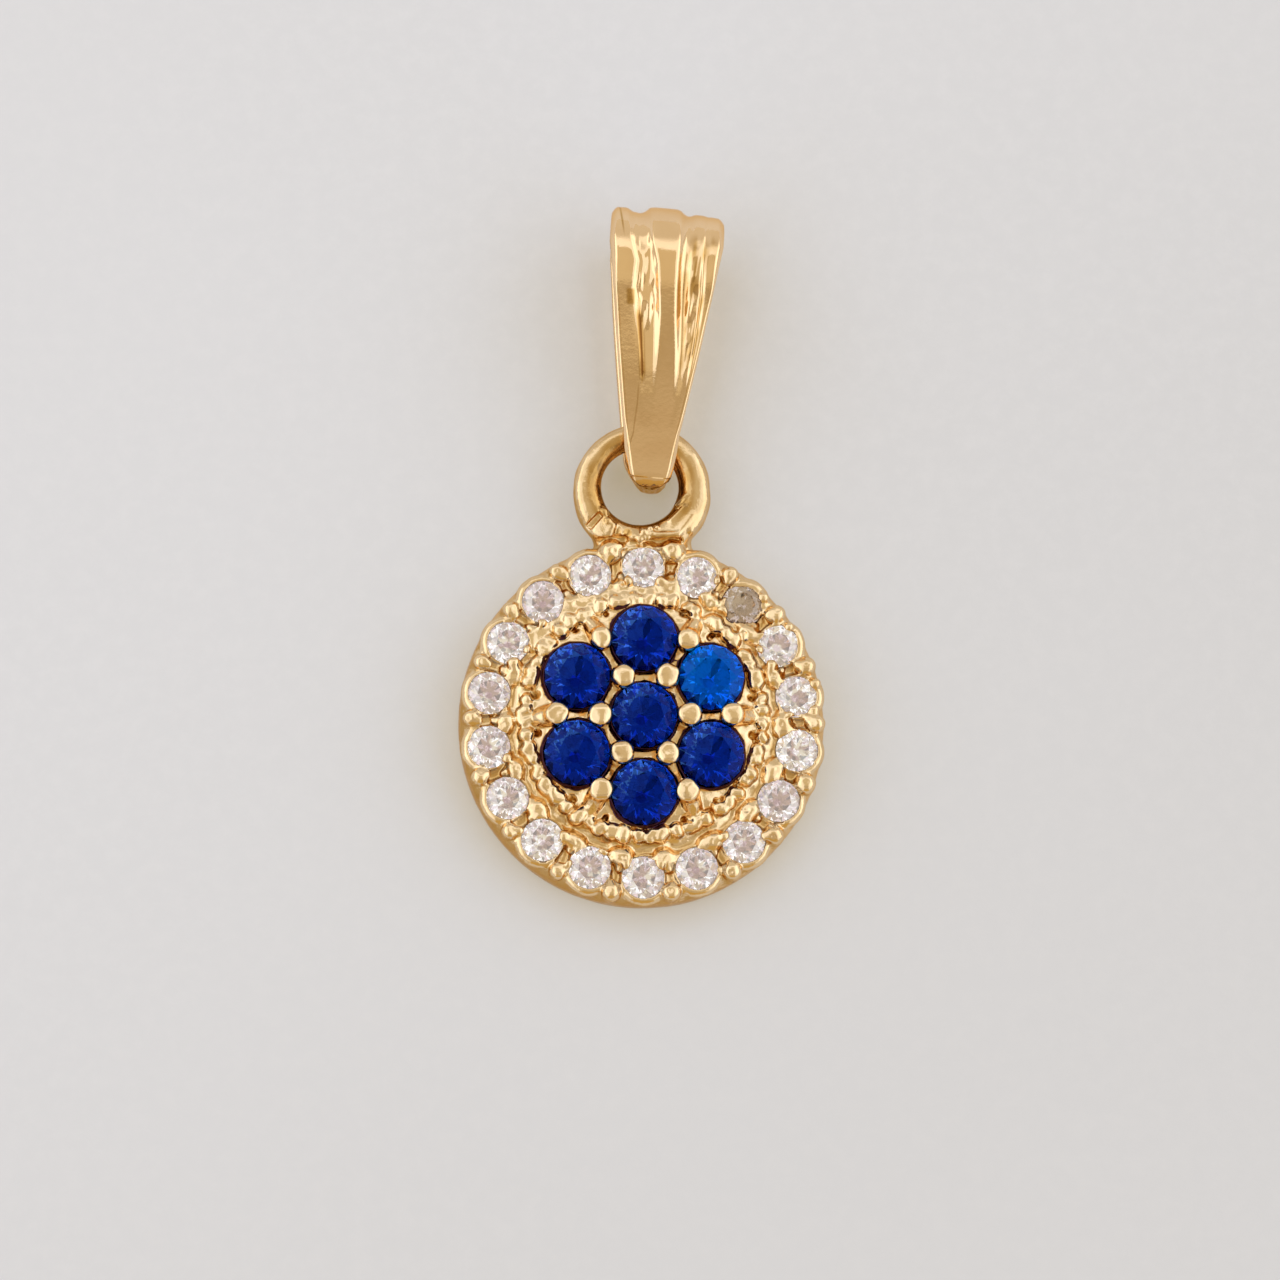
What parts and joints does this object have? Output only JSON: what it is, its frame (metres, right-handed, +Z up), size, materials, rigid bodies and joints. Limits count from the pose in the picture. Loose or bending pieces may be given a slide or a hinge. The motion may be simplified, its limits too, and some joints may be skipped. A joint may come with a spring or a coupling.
{
  "type": "gold pendant with a round cluster of blue stones, a halo of clear stones and a tapered fluted bail",
  "caption": "Small round gold pendant with a raised cluster of blue cut stones, a halo of clear stones, a loop and a long tapered fluted bail, lying on its back.",
  "frame": {"origin": "on the surface that the pendant lies on, under the middle of its bounding box", "axes": "+Z up out of the face of the disc, +Y from the disc to the top of the bail, +X to the right as the face is seen with the bail at the top"},
  "size_m": [0.0112, 0.0214, 0.0038],
  "materials": {
    "gold": "polished yellow gold",
    "blue_gem": "polished, deep royal blue",
    "azure_gem": "polished, azure blue",
    "clear_gem": "polished, colourless",
    "smoky_gem": "dull, smoky grey"
  },
  "bodies": {
    "root": {"setting": "gold", "bail": "gold", "blue_stone_1": "blue_gem", "blue_stone_2": "blue_gem", "blue_stone_3": "azure_gem", "blue_stone_4": "blue_gem", "blue_stone_5": "blue_gem", "blue_stone_6": "blue_gem", "blue_stone_7": "blue_gem", "clear_stone_1": "clear_gem", "clear_stone_2": "clear_gem", "clear_stone_3": "clear_gem", "clear_stone_4": "clear_gem", "clear_stone_5": "clear_gem", "clear_stone_6": "clear_gem", "clear_stone_7": "clear_gem", "clear_stone_8": "clear_gem", "clear_stone_9": "clear_gem", "clear_stone_10": "clear_gem", "clear_stone_11": "clear_gem", "clear_stone_12": "clear_gem", "clear_stone_13": "clear_gem", "clear_stone_14": "clear_gem", "clear_stone_15": "clear_gem", "clear_stone_16": "clear_gem", "clear_stone_17": "smoky_gem", "clear_stone_18": "clear_gem"}
  },
  "joints": []
}
